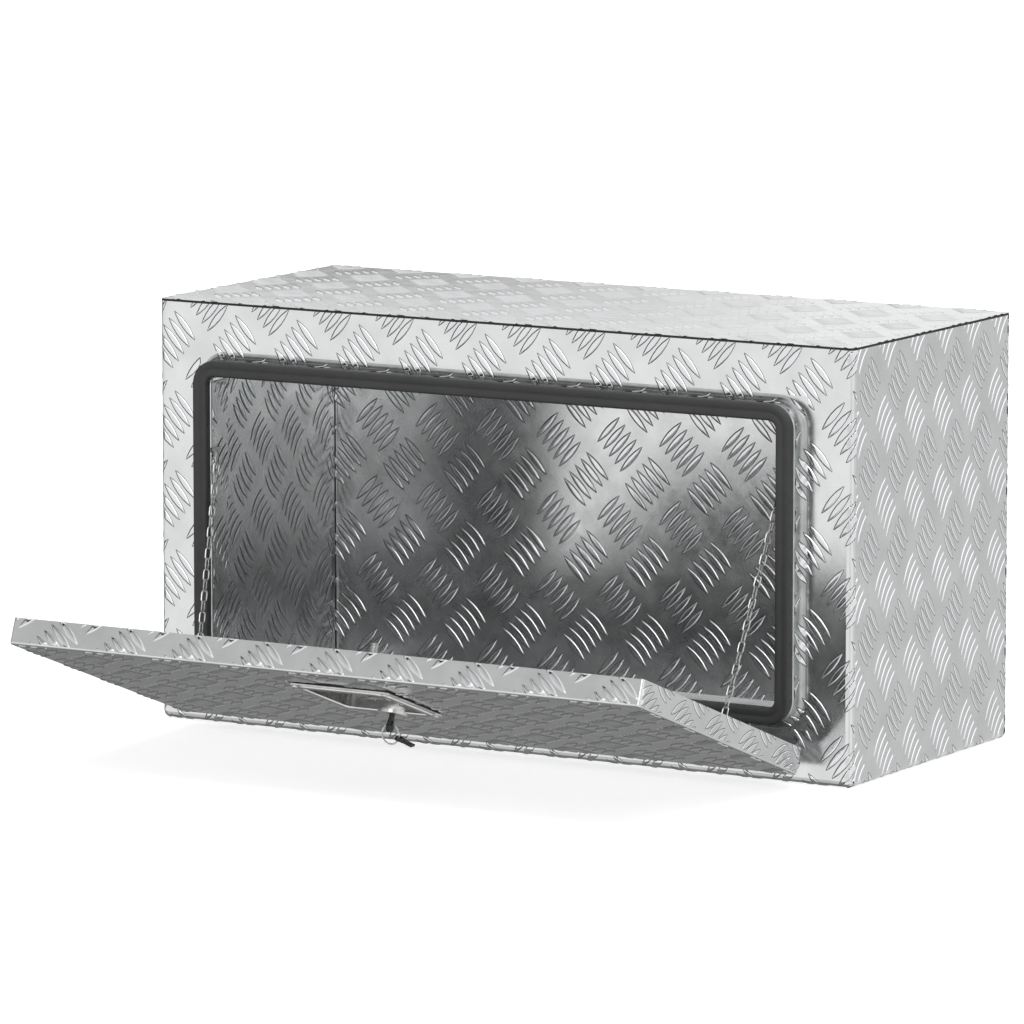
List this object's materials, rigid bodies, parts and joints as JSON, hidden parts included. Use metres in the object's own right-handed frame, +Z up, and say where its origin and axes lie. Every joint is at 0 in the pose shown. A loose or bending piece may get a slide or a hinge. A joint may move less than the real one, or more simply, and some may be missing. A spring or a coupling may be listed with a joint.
{
  "type": "aluminium tool box",
  "caption": "Tread-plate tool box with a drop-down front door on a piano hinge and two chains, rubber door seal and a recessed folding lock handle.",
  "frame": {"origin": "middle of the box's flat underside", "axes": "+X to the right along the front, +Y from the front to the back, +Z up; the door is shown open"},
  "size_m": [0.762, 0.6441, 0.412],
  "materials": {
    "tread_plate": "bright five-bar tread plate, mill finish",
    "brushed_aluminium": "plain satin",
    "stainless_steel": "polished",
    "zinc_plated_steel": "bright zinc plate",
    "dark_steel": "plain",
    "seal_rubber": "matt black",
    "key_plastic": "black"
  },
  "bodies": {
    "box": {"front_panel": "tread_plate", "door_frame": "tread_plate", "left_side_panel": "tread_plate", "right_side_panel": "tread_plate", "back_panel": "tread_plate", "bottom_panel": "tread_plate", "top_panel": "tread_plate", "door_seal_top": "seal_rubber", "door_seal_bottom": "seal_rubber", "door_seal_left": "seal_rubber", "door_seal_right": "seal_rubber", "hinge_body_leaf": "brushed_aluminium", "hinge_pin": "dark_steel", "chain_anchor_left": "zinc_plated_steel", "chain_anchor_right": "zinc_plated_steel"},
    "door": {"door_pan": "tread_plate", "hinge_door_leaf": "brushed_aluminium", "latch_gasket": "seal_rubber", "latch_dish": "stainless_steel", "latch_rivet_1": "stainless_steel", "latch_rivet_2": "stainless_steel", "latch_rivet_3": "stainless_steel", "latch_rivet_4": "stainless_steel", "chain_eye_left": "zinc_plated_steel", "chain_eye_right": "zinc_plated_steel"},
    "spindle": {"handle_spindle": "zinc_plated_steel", "handle_pin": "dark_steel", "spindle_nut": "zinc_plated_steel", "cam_lower_nut": "zinc_plated_steel", "cam_bar": "zinc_plated_steel", "cam_upper_nut": "zinc_plated_steel"},
    "handle": {"folding_handle": "stainless_steel", "lock_cylinder": "stainless_steel"},
    "lock": {"lock_plug": "zinc_plated_steel", "key": "key_plastic"},
    "ring": {"key_ring": "zinc_plated_steel"},
    "spare": {"spare_key": "key_plastic"},
    "chain_lower_left": {"chain_lower_left": "zinc_plated_steel"},
    "chain_upper_left": {"chain_upper_left": "zinc_plated_steel"},
    "chain_lower_right": {"chain_lower_right": "zinc_plated_steel"},
    "chain_upper_right": {"chain_upper_right": "zinc_plated_steel"}
  },
  "joints": [
    {"name": "door_hinge", "type": "hinge", "parent": "box", "child": "door", "pos_m": [0, -0.1632, 0.0314], "axis": [1, 0, 0], "range_deg": [-69.9, 0]},
    {"name": "spindle_turn", "type": "hinge", "parent": "door", "child": "spindle", "pos_m": [-0.008, -0.38545, 0.08547], "axis": [0, 0.3437, 0.9391], "range_deg": [0, 180]},
    {"name": "handle_flip", "type": "hinge", "parent": "spindle", "child": "handle", "pos_m": [-0.008, -0.38415, 0.08904], "axis": [0, 0.9391, -0.3437], "range_deg": [0, 75]},
    {"name": "lock_turn", "type": "hinge", "parent": "handle", "child": "lock", "pos_m": [0.023, -0.38999, 0.07308], "axis": [0, 0.3437, 0.9391], "range_deg": [0, 90]},
    {"name": "key_ring_swing", "type": "hinge", "parent": "lock", "child": "ring", "pos_m": [0.023, -0.39284, 0.06408], "axis": [1, 0, 0], "range_deg": [0, 70]},
    {"name": "spare_key_slide", "type": "hinge", "parent": "ring", "child": "spare", "pos_m": [0.023, -0.39284, 0.05488], "axis": [0, 1, 0], "range_deg": [-10, 60]},
    {"name": "chain_left_at_door", "type": "hinge", "parent": "door", "child": "chain_lower_left", "pos_m": [-0.287, -0.24497, 0.05004], "axis": [1, 0, 0], "range_deg": [-19.5, 0]},
    {"name": "chain_left_fold", "type": "hinge", "parent": "chain_lower_left", "child": "chain_upper_left", "pos_m": [-0.29196, -0.22766, 0.10059], "axis": [1, 0, 0], "range_deg": [0, 124.25]},
    {"name": "chain_right_at_door", "type": "hinge", "parent": "door", "child": "chain_lower_right", "pos_m": [0.287, -0.24497, 0.05004], "axis": [1, 0, 0], "range_deg": [-19.5, 0]},
    {"name": "chain_right_fold", "type": "hinge", "parent": "chain_lower_right", "child": "chain_upper_right", "pos_m": [0.29196, -0.22766, 0.10059], "axis": [1, 0, 0], "range_deg": [0, 124.25]}
  ],
  "couplings": [
    {"joint": "key_ring_swing", "follows": "door_hinge", "ratio": -1},
    {"joint": "chain_left_at_door", "follows": "door_hinge", "ratio": 0.27838},
    {"joint": "chain_left_fold", "follows": "door_hinge", "ratio": -1.7765},
    {"joint": "chain_right_at_door", "follows": "door_hinge", "ratio": 0.27838},
    {"joint": "chain_right_fold", "follows": "door_hinge", "ratio": -1.7765}
  ]
}
